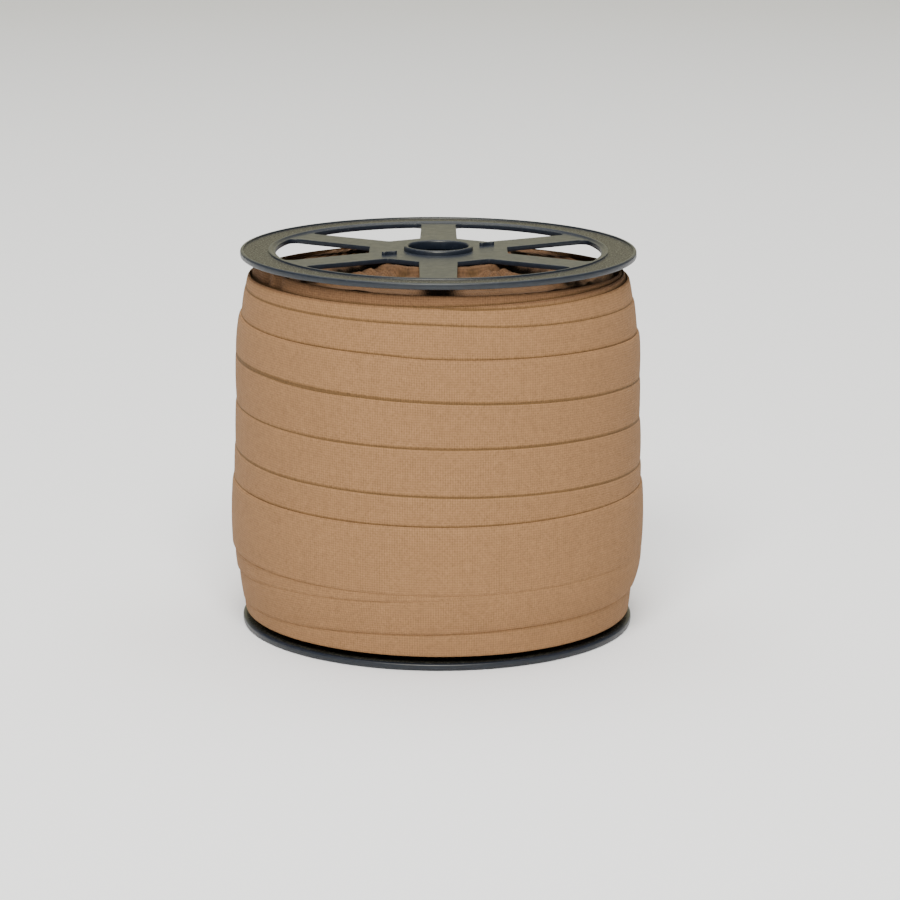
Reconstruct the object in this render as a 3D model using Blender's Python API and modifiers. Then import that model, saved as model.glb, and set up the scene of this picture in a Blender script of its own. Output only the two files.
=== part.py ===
"""Roll of cotton tape on a plastic spool: a six-spoked flange above and below a hollow
core, and one long bias-folded cotton tape wound round it in overlapping turns.

The spool stands on its lower flange at z = 0 with its axis on Z. One spoke points to -Y."""

import math

import bmesh
import bpy
from mathutils import Vector

MM = 0.001
CLEARANCE = 0.3 * MM

# Sizes of the spool's two flanges
FLANGE_RADIUS = 52.5 * MM
RIM_THICKNESS = 1.7 * MM
WEB_THICKNESS = 1.25 * MM
RIM_INNER_RADIUS = 44.2 * MM
RIM_ROUNDING = 0.4 * MM
SPOOL_HEIGHT = 101.0 * MM
COLLAR_HEIGHT = 1.25 * MM
COLLAR_CHAMFER = 0.25 * MM
FLANGE_STEPS = 72

# The windows between the spokes, and the two keying lugs on the upper hub
SPOKE_COUNT = 6
SPOKE_WIDTH = 9.5 * MM
WINDOW_RADIUS = 43.2 * MM
WINDOW_CORNER = 2.0 * MM
WINDOW_CORNER_STEPS = 4
WINDOW_RIM_STEPS = 7
CUTTER_DEPTH = 12.0 * MM
HUB_APOTHEM = 18.3 * MM
LUG_PLACE_RADIUS = 14.9 * MM
LUG_LENGTH = 4.4 * MM
LUG_POST_RADIUS = 0.65 * MM
LUG_RIB_WIDTH = 0.6 * MM
LUG_HEIGHT = 1.1 * MM
LUG_ROOT = 0.3 * MM
LUG_POST_STEPS = 8
LUG_ANGLES = (math.radians(30), math.radians(210))

# The core that joins them: a bore tube inside a barrel
BORE_RADIUS = 7.95 * MM
BORE_TUBE_RADIUS = 9.15 * MM
BARREL_RADIUS = 18.0 * MM
BARREL_WALL = 1.4 * MM
CORE_STEPS = 48

# The tape, 18 mm wide as folded
TAPE_WIDTH = 18.0 * MM
TAPE_STEP = 0.6 * MM
EDGE_ROUNDING = 0.3 * MM
WINDING_STEPS = 60

# The tape's upper edge, from the uppermost turn down, as (turn, degrees, height). Degrees are
# counted from +X. Each turn starts at the back, at 90, comes round into the front on the left
# at 205 and leaves it on the right at 325. The uppermost turn stands up free in front.
SEAM_DEGREES = 90
TAPE_EDGE = (
    (0, 90, 94.9 * MM),
    (0, 150, 95.2 * MM),
    (0, 205, 97.2 * MM),
    (0, 265, 98.2 * MM),
    (0, 325, 97.8 * MM),
    (0, 395, 94.9 * MM),
    (1, 90, 94.2 * MM),
    (1, 150, 94.3 * MM),
    (1, 205, 94.6 * MM),
    (1, 325, 93.8 * MM),
    (2, 205, 91.0 * MM),
    (2, 325, 88.4 * MM),
    (3, 205, 83.4 * MM),
    (3, 325, 80.3 * MM),
    (4, 205, 73.3 * MM),
    (4, 325, 68.7 * MM),
    (5, 205, 60.2 * MM),
    (5, 325, 57.7 * MM),
    (6, 205, 48.1 * MM),
    (6, 325, 45.2 * MM),
    (7, 205, 39.2 * MM),
    (7, 325, 38.7 * MM),
)
TURN_COUNT = 8
FACE_ROWS = 3

# Radius of the winding's outermost cloth at each height
SWELL = (
    (4.0 * MM, 51.8 * MM),
    (9.0 * MM, 52.8 * MM),
    (14.0 * MM, 53.7 * MM),
    (19.0 * MM, 54.9 * MM),
    (27.0 * MM, 55.4 * MM),
    (35.0 * MM, 55.3 * MM),
    (45.0 * MM, 54.6 * MM),
    (55.0 * MM, 54.1 * MM),
    (77.0 * MM, 53.8 * MM),
    (84.0 * MM, 52.9 * MM),
    (90.0 * MM, 51.6 * MM),
    (95.0 * MM, 50.4 * MM),
    (98.2 * MM, 49.6 * MM),
)

# The lower edge of an earlier turn, wound the other way: it climbs round the winding's foot
FOOT_EDGE_HEIGHT = 9.3 * MM
FOOT_EDGE_CLIMB = 1.9 * MM

# The winding's upper end, sloping down from the barrel to the foot of the uppermost turn,
# and its lower end, from the cloth's lowest edge in to the barrel, as (radius, height)
UPPER_END = (
    (20.0 * MM, 98.8 * MM),
    (26.0 * MM, 98.2 * MM),
    (34.0 * MM, 97.0 * MM),
    (43.0 * MM, 95.3 * MM),
    (48.2 * MM, 94.2 * MM),
)
LOWER_END = (
    (51.6 * MM, 4.2 * MM),
    (50.6 * MM, 3.6 * MM),
    (44.0 * MM, 3.2 * MM),
    (24.0 * MM, 2.9 * MM),
)
PLEAT_COUNT = 12
PLEAT_HEIGHT = 0.35 * MM

PLASTIC_COLOUR = (0.028, 0.030, 0.034, 1.0)
FLANGE_ROUGHNESS = 0.38
TUBE_ROUGHNESS = 0.45
COTTON_COLOUR = (0.42, 0.26, 0.15, 1.0)
COTTON_ROUGHNESS = 0.92
SHARP_ANGLE = math.radians(35)
MERGE_DISTANCE = 0.01 * MM


def clear_scene():
    for thing in list(bpy.data.objects):
        bpy.data.objects.remove(thing, do_unlink=True)


def make_collection(name):
    collection = bpy.data.collections.new(name)
    bpy.context.scene.collection.children.link(collection)
    return collection


def make_material(name, colour, roughness):
    material = bpy.data.materials.new(name)
    material.use_nodes = True
    shader = material.node_tree.nodes["Principled BSDF"]
    shader.inputs["Base Color"].default_value = colour
    shader.inputs["Roughness"].default_value = roughness
    shader.inputs["Metallic"].default_value = 0.0
    return material


def add_object(name, mesh, collection, material=None):
    thing = bpy.data.objects.new(name, mesh)
    collection.objects.link(thing)
    if material:
        mesh.materials.append(material)
    return thing


def turned_object(name, profile, steps, collection, material):
    """Turn a closed profile of (radius, height) about Z. It runs outward along the top."""
    mesh = bpy.data.meshes.new(name)
    edges = [(i, (i + 1) % len(profile)) for i in range(len(profile))]
    mesh.from_pydata([(radius, 0.0, height) for radius, height in profile], edges, [])
    thing = add_object(name, mesh, collection, material)
    screw = thing.modifiers.new("Turn", "SCREW")
    screw.steps = steps
    screw.render_steps = steps
    screw.use_merge_vertices = True
    screw.merge_threshold = MERGE_DISTANCE
    return thing


def outline_cutter(name, outline, depth, collection):
    """A closed flat outline drawn as a curve, given a depth and made a mesh."""
    curve = bpy.data.curves.new(name, "CURVE")
    curve.dimensions = "2D"
    curve.fill_mode = "BOTH"
    curve.extrude = depth / 2
    spline = curve.splines.new("POLY")
    spline.points.add(len(outline) - 1)
    for point, (x, y) in zip(spline.points, outline):
        point.co = (x, y, 0.0, 1.0)
    spline.use_cyclic_u = True
    drawn = bpy.data.objects.new(name + "_outline", curve)
    collection.objects.link(drawn)
    bpy.context.view_layer.update()
    evaluated = drawn.evaluated_get(bpy.context.evaluated_depsgraph_get())
    mesh = bpy.data.meshes.new_from_object(evaluated)
    bpy.data.objects.remove(drawn, do_unlink=True)
    bm = bmesh.new()
    bm.from_mesh(mesh)
    bmesh.ops.remove_doubles(bm, verts=bm.verts, dist=MERGE_DISTANCE)
    bmesh.ops.recalc_face_normals(bm, faces=bm.faces)
    bm.to_mesh(mesh)
    bm.free()
    cutter = add_object(name, mesh, collection)
    cutter.hide_render = True
    cutter.display_type = "WIRE"
    return cutter


def combine(thing, cutter, operation):
    boolean = thing.modifiers.new(cutter.name, "BOOLEAN")
    boolean.operation = operation
    boolean.solver = "EXACT"
    boolean.object = cutter
    cutter.parent = thing


def arc(centre, radius, start, end, steps):
    angles = [start + (end - start) * i / steps for i in range(steps + 1)]
    return [(centre[0] + radius * math.cos(a), centre[1] + radius * math.sin(a)) for a in angles]


def window_outline():
    """One window, centred on +X: a straight side at the hub, two sides along the spokes,
    an arc at the rim, and rounded corners where the spokes meet the rim."""
    half_angle = math.pi / SPOKE_COUNT
    offset = SPOKE_WIDTH / 2 + WINDOW_CORNER
    along = math.sqrt((WINDOW_RADIUS - WINDOW_CORNER) ** 2 - offset ** 2)
    corner_angle = half_angle - math.atan2(offset, along)
    reach = WINDOW_RADIUS - WINDOW_CORNER
    corner = (reach * math.cos(corner_angle), reach * math.sin(corner_angle))
    hub_y = (HUB_APOTHEM * math.sin(half_angle) - SPOKE_WIDTH / 2) / math.cos(half_angle)
    upper = arc(corner, WINDOW_CORNER, corner_angle, half_angle + math.pi / 2,
                WINDOW_CORNER_STEPS)
    rim = arc((0.0, 0.0), WINDOW_RADIUS, -corner_angle, corner_angle, WINDOW_RIM_STEPS)
    lower = [(x, -y) for x, y in reversed(upper)]
    return [(HUB_APOTHEM, -hub_y)] + lower[:-1] + rim + upper[1:] + [(HUB_APOTHEM, hub_y)]


def lug_outline():
    """A keying lug lying along +X: two round posts joined by a thin rib."""
    reach = LUG_LENGTH / 2 - LUG_POST_RADIUS
    meet = math.asin(LUG_RIB_WIDTH / 2 / LUG_POST_RADIUS)
    right = arc((reach, 0.0), LUG_POST_RADIUS, meet - math.pi, math.pi - meet, LUG_POST_STEPS)
    left = arc((-reach, 0.0), LUG_POST_RADIUS, meet, 2 * math.pi - meet, LUG_POST_STEPS)
    return right + left


def flange_profile(collar_height):
    """Section of a flange with its flat inner face at height 0 and its rim raised outside."""
    profile = [
        (RIM_INNER_RADIUS, WEB_THICKNESS),
        (RIM_INNER_RADIUS, RIM_THICKNESS),
        (FLANGE_RADIUS - RIM_ROUNDING, RIM_THICKNESS),
        (FLANGE_RADIUS, RIM_THICKNESS - RIM_ROUNDING),
        (FLANGE_RADIUS, RIM_ROUNDING / 2),
        (FLANGE_RADIUS - RIM_ROUNDING / 2, 0.0),
        (BORE_RADIUS, 0.0),
    ]
    if not collar_height:
        return profile + [(BORE_RADIUS, WEB_THICKNESS)]
    top = WEB_THICKNESS + collar_height
    return profile + [
        (BORE_RADIUS, top),
        (BORE_TUBE_RADIUS - COLLAR_CHAMFER, top),
        (BORE_TUBE_RADIUS, top - COLLAR_CHAMFER),
        (BORE_TUBE_RADIUS, WEB_THICKNESS),
    ]


def make_flange(name, collar_height, collection, cutters, material):
    flange = turned_object(name, flange_profile(collar_height), FLANGE_STEPS, collection, material)
    for index in range(SPOKE_COUNT):
        window = outline_cutter("%s_window_%d" % (name, index + 1), window_outline(),
                                CUTTER_DEPTH, cutters)
        window.rotation_euler.z = 2 * math.pi * index / SPOKE_COUNT
        combine(flange, window, "DIFFERENCE")
    if collar_height:
        for index, angle in enumerate(LUG_ANGLES):
            lug = outline_cutter("%s_lug_%d" % (name, index + 1), lug_outline(),
                                 LUG_HEIGHT + LUG_ROOT, cutters)
            lug.location = (LUG_PLACE_RADIUS * math.cos(angle),
                            LUG_PLACE_RADIUS * math.sin(angle),
                            WEB_THICKNESS + (LUG_HEIGHT - LUG_ROOT) / 2)
            lug.rotation_euler.z = angle
            combine(flange, lug, "UNION")
    return flange


def make_tube(name, inside, outside, collection, material):
    """A plain tube that stands between the two flanges."""
    bottom = RIM_THICKNESS + CLEARANCE
    top = SPOOL_HEIGHT - RIM_THICKNESS - CLEARANCE
    profile = [(inside, top), (outside, top), (outside, bottom), (inside, bottom)]
    return turned_object(name, profile, CORE_STEPS, collection, material)


def smooth_table(value, table):
    """Read a table of (position, result) pairs with a smooth curve through its rows."""
    last = len(table) - 1
    if value <= table[0][0]:
        return table[0][1]
    if value >= table[last][0]:
        return table[last][1]
    i = next(n for n in range(last) if value <= table[n + 1][0])
    start, end = table[i], table[i + 1]
    before, after = table[max(i - 1, 0)], table[min(i + 2, last)]
    width = end[0] - start[0]
    leave = (end[1] - before[1]) / (end[0] - before[0]) * width
    arrive = (after[1] - start[1]) / (after[0] - start[0]) * width
    t = (value - start[0]) / width
    return (start[1] * (2 * t ** 3 - 3 * t ** 2 + 1) + leave * (t ** 3 - 2 * t ** 2 + t)
            + end[1] * (3 * t ** 2 - 2 * t ** 3) + arrive * (t ** 3 - t ** 2))


def swell(height):
    return smooth_table(height, SWELL)


def edge_height(turns):
    """Height of the tape's upper edge after so many turns from its start at the top."""
    table = [(turn + (degrees - SEAM_DEGREES) / 360, height) for turn, degrees, height in TAPE_EDGE]
    return smooth_table(turns, table)


def winding_rows(share):
    """The winding's section at one share of a turn from the seam, from the barrel over the top,
    down the outside and back below, as (key, radius, height). A turn's rows are keyed by the
    turn's number."""
    pleat = PLEAT_HEIGHT * math.sin(PLEAT_COUNT * 2 * math.pi * share)
    hole = BARREL_RADIUS + CLEARANCE
    rows = [(("upper", 0), hole, UPPER_END[0][1]), (("upper", 1), *UPPER_END[0])]
    for index, (radius, height) in enumerate(UPPER_END[1:]):
        pleated = height + (pleat if index % 2 else -pleat)
        rows.append((("upper", index + 2), radius, pleated))
    last = TURN_COUNT - 1
    for turn in range(TURN_COUNT):
        edge = edge_height(turn + share)
        below = edge_height(turn + 1 + share) if turn < last else edge - TAPE_WIDTH
        rows.append(((turn, 0), swell(edge) - TAPE_STEP, edge))
        rows.append(((turn, 1), swell(edge), edge - EDGE_ROUNDING))
        sink = TAPE_STEP if turn < last else 0.0
        for part in range(1, FACE_ROWS):
            height = edge + (below - edge) * part / FACE_ROWS
            rows.append(((turn, part + 1), swell(height) - sink * part / FACE_ROWS, height))
    lower = edge_height(last + share) - TAPE_WIDTH
    rows.append((("lower", 0), swell(lower), lower + EDGE_ROUNDING))
    rows.append((("lower", 1), swell(lower) - TAPE_STEP, lower))
    foot = FOOT_EDGE_HEIGHT + FOOT_EDGE_CLIMB * math.sin(2 * math.pi * share - math.pi)
    rows.append((("lower", 2), swell(foot) - TAPE_STEP / 2, foot + EDGE_ROUNDING))
    rows.append((("lower", 3), swell(foot) - TAPE_STEP, foot))
    for index, (radius, height) in enumerate(LOWER_END):
        rows.append((("lower", 4 + index), radius, height))
    rows.append((("lower", 4 + len(LOWER_END)), hole, LOWER_END[-1][1]))
    return rows


def join_sections(bm, left, right):
    """Fill between two sections: a strip where both have a row, a fan where one has not."""
    right_keys = [key for key, vertex in right]
    left_keys = [key for key, vertex in left]
    i, j = 0, 0
    while i < len(left) - 1 or j < len(right) - 1:
        left_next = left_keys[i + 1] if i < len(left) - 1 else None
        right_next = right_keys[j + 1] if j < len(right) - 1 else None
        if left_next is not None and left_next == right_next:
            bm.faces.new((left[i][1], left[i + 1][1], right[j + 1][1], right[j][1]))
            i, j = i + 1, j + 1
        elif right_next is not None and right_next not in left_keys:
            bm.faces.new((left[i][1], right[j + 1][1], right[j][1]))
            j += 1
        else:
            bm.faces.new((left[i][1], left[i + 1][1], right[j][1]))
            i += 1
    bm.faces.new((left[-1][1], left[0][1], right[0][1], right[-1][1]))


def make_winding(collection, material):
    """The wound tape as one closed body. Each turn goes on as the turn below it, so the last
    section joins the first one turn further down."""
    bm = bmesh.new()
    sections = []
    for step in range(WINDING_STEPS):
        share = step / WINDING_STEPS
        angle = math.radians(SEAM_DEGREES) + 2 * math.pi * share
        section = []
        for key, radius, height in winding_rows(share):
            place = Vector((radius * math.cos(angle), radius * math.sin(angle), height))
            section.append((key, bm.verts.new(place)))
        sections.append(section)
    for left, right in zip(sections, sections[1:]):
        join_sections(bm, left, right)
    carried_on = []
    for key, vertex in sections[-1]:
        carried_on.append(((key[0] + 1, key[1]) if isinstance(key[0], int) else key, vertex))
    join_sections(bm, carried_on, sections[0])
    mesh = bpy.data.meshes.new("tape_winding")
    bm.to_mesh(mesh)
    bm.free()
    return add_object("tape_winding", mesh, collection, material)


def shade(thing):
    thing.data.shade_smooth()
    thing.data.set_sharp_from_angle(angle=SHARP_ANGLE)


def build():
    clear_scene()
    parts = make_collection("roll_of_cotton_tape")
    cutters = make_collection("cutters")
    upper_plastic = make_material("upper_flange_plastic", PLASTIC_COLOUR, FLANGE_ROUGHNESS)
    lower_plastic = make_material("lower_flange_plastic", PLASTIC_COLOUR, FLANGE_ROUGHNESS)
    barrel_plastic = make_material("core_plastic", PLASTIC_COLOUR, TUBE_ROUGHNESS)
    bore_plastic = make_material("bore_tube_plastic", PLASTIC_COLOUR, TUBE_ROUGHNESS)
    cotton = make_material("cotton_tape", COTTON_COLOUR, COTTON_ROUGHNESS)

    upper = make_flange("spool_flange_top", COLLAR_HEIGHT, parts, cutters, upper_plastic)
    upper.location.z = SPOOL_HEIGHT - RIM_THICKNESS
    lower = make_flange("spool_flange_bottom", 0.0, parts, cutters, lower_plastic)
    lower.rotation_euler.x = math.pi
    lower.location.z = RIM_THICKNESS
    barrel = make_tube("spool_core", BARREL_RADIUS - BARREL_WALL, BARREL_RADIUS, parts,
                       barrel_plastic)
    bore_tube = make_tube("spool_bore_tube", BORE_RADIUS, BORE_TUBE_RADIUS, parts, bore_plastic)
    winding = make_winding(parts, cotton)
    for thing in (upper, lower, barrel, bore_tube, winding):
        shade(thing)


build()
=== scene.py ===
import math

import bmesh
import bpy
from mathutils import Matrix, Vector


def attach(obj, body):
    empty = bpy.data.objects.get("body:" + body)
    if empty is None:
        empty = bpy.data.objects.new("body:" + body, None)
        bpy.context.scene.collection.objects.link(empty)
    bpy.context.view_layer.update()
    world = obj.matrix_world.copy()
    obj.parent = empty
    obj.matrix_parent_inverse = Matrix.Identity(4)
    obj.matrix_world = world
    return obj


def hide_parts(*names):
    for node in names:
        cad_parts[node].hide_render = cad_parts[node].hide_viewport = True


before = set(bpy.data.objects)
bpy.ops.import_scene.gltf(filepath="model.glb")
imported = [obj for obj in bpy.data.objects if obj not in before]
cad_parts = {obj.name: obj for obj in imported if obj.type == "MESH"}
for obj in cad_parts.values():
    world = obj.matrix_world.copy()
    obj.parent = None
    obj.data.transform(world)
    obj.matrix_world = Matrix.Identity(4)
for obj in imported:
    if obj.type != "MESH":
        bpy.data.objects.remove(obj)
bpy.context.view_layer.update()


# Camera
# A long lens about 0.9 m in front of the spool, a little above it, looking 13 degrees down.
camera_data = bpy.data.cameras.new("camera")
camera_data.lens = 136.57
camera_data.sensor_width = 36.0
camera_data.clip_end = 50.0
camera = bpy.data.objects.new("camera", camera_data)
bpy.context.scene.collection.objects.link(camera)
camera.matrix_world = (Matrix.Translation((0.0, -0.8935, 0.2538))
                       @ Matrix.Rotation(-0.0037, 4, "Z")
                       @ Matrix.Rotation(math.pi / 2 - 0.2284, 4, "X")
                       @ Matrix.Rotation(0.0045, 4, "Z"))
bpy.context.scene.camera = camera


# Floor and studio light
# A plain pale floor of matt card, lit by a large soft box in front and a weaker one overhead.
# A warm card behind the spool is what its plastic shows at a low angle.
FLOOR_HALF = 6.0
FLOOR_HEIGHT = -0.0001


def add_to_scene(name, data):
    thing = bpy.data.objects.new(name, data)
    bpy.context.scene.collection.objects.link(thing)
    return thing


def start_material(name):
    """A new material, its shader, and the two ways to add to it."""
    material = bpy.data.materials.new(name)
    material.use_nodes = True
    nodes = material.node_tree.nodes
    links = material.node_tree.links
    return material, nodes["Principled BSDF"], nodes, links


floor_mesh = bpy.data.meshes.new("floor")
floor_corners = [(x * FLOOR_HALF, y * FLOOR_HALF, FLOOR_HEIGHT)
                 for x, y in ((-1, -1), (1, -1), (1, 1), (-1, 1))]
floor_mesh.from_pydata(floor_corners, [], [(0, 1, 2, 3)])
floor = add_to_scene("floor", floor_mesh)
floor_paint, shader, nodes, links = start_material("pale_card")
shader.inputs["Base Color"].default_value = (0.95, 0.95, 0.95, 1.0)
shader.inputs["Roughness"].default_value = 0.9
floor_mesh.materials.append(floor_paint)

room = bpy.data.worlds.new("room")
bpy.context.scene.world = room
room.use_nodes = True
room.node_tree.nodes["Background"].inputs["Color"].default_value = (1.0, 1.0, 1.0, 1.0)
room.node_tree.nodes["Background"].inputs["Strength"].default_value = 0.20


def soft_box(name, place, aim, size, power, colour):
    lamp = bpy.data.lights.new(name, "AREA")
    lamp.shape = "RECTANGLE"
    lamp.size = size[0]
    lamp.size_y = size[1]
    lamp.energy = power
    lamp.color = colour
    box = add_to_scene(name, lamp)
    box.location = place
    direction = Vector(aim) - Vector(place)
    box.rotation_euler = direction.to_track_quat("-Z", "Y").to_euler()


soft_box("overhead_light", (0.0, 0.5, 1.7), (0.0, 0.3, 0.0), (2.0, 1.6), 34.0, (1.0, 1.0, 0.98))
soft_box("front_light", (-0.1, -1.35, 1.45), (0.0, 0.0, 0.05), (1.1, 0.8), 63.0, (1.0, 0.99, 0.97))
soft_box("back_card", (0.0, 3.0, 0.75), (0.0, 0.0, 0.1), (3.0, 1.2), 10.0, (1.0, 0.93, 0.46))


# Flanges
# Two moulded discs of satin black plastic, each with six flat spokes, a raised ring round the
# edge and a small hub. The upper one has a collar round the bore and two keying lugs.
FLANGE_RADIUS = 0.0525
FLANGE_THICKNESS = 0.0017
WEB_THICKNESS = 0.00125
RING_INNER_RADIUS = 0.0442
SPOOL_HEIGHT = 0.1010
SPOKE_COUNT = 6
SPOKE_WIDTH = 0.0095
WINDOW_RADIUS = 0.0432
WINDOW_CORNER = 0.0020
HUB_APOTHEM = 0.0183
HUB_CORNER = 0.0007
BORE_RADIUS = 0.00795
COLLAR_RADIUS = 0.00915
COLLAR_HEIGHT = 0.00125
EDGE_BREAK = 0.00014
RING_STEPS = 180
BORE_STEPS = 96

# The collar's rounded top edges, as (distance in from its wall, distance below its top)
COLLAR_ROUND = [(0.0, 0.00060), (0.00005, 0.00036), (0.00018, 0.00015), (0.00038, 0.00003)]

# A lug is two posts and a rib, raised from the hub
LUG_ANGLES = (math.radians(30), math.radians(210))
LUG_PLACE_RADIUS = 0.0149
LUG_HEIGHT = 0.0009
LUG_ROOT = 0.0004
LUG_POST_PLACE = 0.00155
LUG_POST_RADIUS = 0.00065
LUG_RIB_HALF = 0.0003

# How far the web runs into the ring and the collar, and how far these reach below it, so that
# no two faces lie on each other where they fuse
WEB_TUCK = 0.0006
UNDERCUT = 0.00003


def finished(thing):
    """The object's shape with its modifiers taken in, as a plain mesh in its place."""
    bpy.context.view_layer.update()
    evaluated = thing.evaluated_get(bpy.context.evaluated_depsgraph_get())
    mesh = bpy.data.meshes.new_from_object(evaluated)
    if thing.type == "MESH":
        thing.modifiers.clear()
        thing.data = mesh
        return thing
    name = thing.name
    bpy.data.objects.remove(thing, do_unlink=True)
    return add_to_scene(name, mesh)


def arc(centre, radius, start, end, steps):
    angles = [start + (end - start) * i / steps for i in range(steps + 1)]
    return [(centre[0] + radius * math.cos(a), centre[1] + radius * math.sin(a)) for a in angles]


def turned_outline(outline, angle):
    c, s = math.cos(angle), math.sin(angle)
    return [(x * c - y * s, x * s + y * c) for x, y in outline]


def window_outline():
    half_angle = math.pi / SPOKE_COUNT
    offset = SPOKE_WIDTH / 2 + WINDOW_CORNER
    reach = WINDOW_RADIUS - WINDOW_CORNER
    corner_angle = half_angle - math.atan2(offset, math.sqrt(reach ** 2 - offset ** 2))
    corner = (reach * math.cos(corner_angle), reach * math.sin(corner_angle))
    hub_y = (HUB_APOTHEM * math.sin(half_angle) - SPOKE_WIDTH / 2) / math.cos(half_angle)
    upper = arc(corner, WINDOW_CORNER, corner_angle, half_angle + math.pi / 2, 12)
    rim = arc((0.0, 0.0), WINDOW_RADIUS, -corner_angle, corner_angle, 24)
    hub = arc((HUB_APOTHEM + HUB_CORNER, hub_y - HUB_CORNER), HUB_CORNER, math.radians(120),
              math.radians(180), 4)
    lower = [(x, -y) for x, y in reversed(upper)]
    return [(x, -y) for x, y in reversed(hub)] + lower[:-1] + rim + upper[1:] + hub


def lug_outline():
    """Two round posts joined by a thin rib, lying along X."""
    meet = math.asin(LUG_RIB_HALF / LUG_POST_RADIUS)
    return (arc((LUG_POST_PLACE, 0.0), LUG_POST_RADIUS, meet - math.pi, math.pi - meet, 16)
            + arc((-LUG_POST_PLACE, 0.0), LUG_POST_RADIUS, meet, 2 * math.pi - meet, 16))


def cut_plate(name, outlines, thickness):
    """A plate with its upper and lower edges broken, filled between closed outlines."""
    curve = bpy.data.curves.new(name, "CURVE")
    curve.dimensions = "2D"
    curve.fill_mode = "BOTH"
    curve.extrude = thickness / 2 - EDGE_BREAK
    curve.bevel_depth = EDGE_BREAK
    curve.bevel_resolution = 1
    curve.offset = -EDGE_BREAK
    for outline in outlines:
        spline = curve.splines.new("POLY")
        spline.points.add(len(outline) - 1)
        for point, (x, y) in zip(spline.points, outline):
            point.co = (x, y, 0.0, 1.0)
        spline.use_cyclic_u = True
    plate = finished(add_to_scene(name, curve))
    bm = bmesh.new()
    bm.from_mesh(plate.data)
    bmesh.ops.remove_doubles(bm, verts=bm.verts, dist=0.000004)
    bmesh.ops.recalc_face_normals(bm, faces=bm.faces)
    bm.to_mesh(plate.data)
    bm.free()
    return plate


def turned(name, profile, steps):
    """A closed profile of (radius, height) turned about Z. It runs outward along the top."""
    mesh = bpy.data.meshes.new(name)
    edges = [(i, (i + 1) % len(profile)) for i in range(len(profile))]
    mesh.from_pydata([(radius, 0.0, height) for radius, height in profile], edges, [])
    thing = add_to_scene(name, mesh)
    screw = thing.modifiers.new("Turn", "SCREW")
    screw.steps = steps
    screw.render_steps = steps
    screw.use_merge_vertices = True
    screw.merge_threshold = 0.000001
    return finished(thing)


def fuse(thing, *others):
    """Make one closed body of several that overlap."""
    for other in others:
        join = thing.modifiers.new("Fuse", "BOOLEAN")
        join.operation = "UNION"
        join.solver = "EXACT"
        join.object = other
    finished(thing)
    for other in others:
        bpy.data.objects.remove(other, do_unlink=True)
    return thing


def smooth_over(thing, sharp_angle):
    """Smooth shading, with hard edges at corners and all round each level face."""
    bm = bmesh.new()
    bm.from_mesh(thing.data)
    for face in bm.faces:
        face.smooth = True
    for edge in bm.edges:
        level = {abs(face.normal.z) > 0.9999 for face in edge.link_faces}
        edge.smooth = len(level) == 1 and edge.calc_face_angle(0.0) < sharp_angle
    bm.to_mesh(thing.data)
    bm.free()


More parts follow.
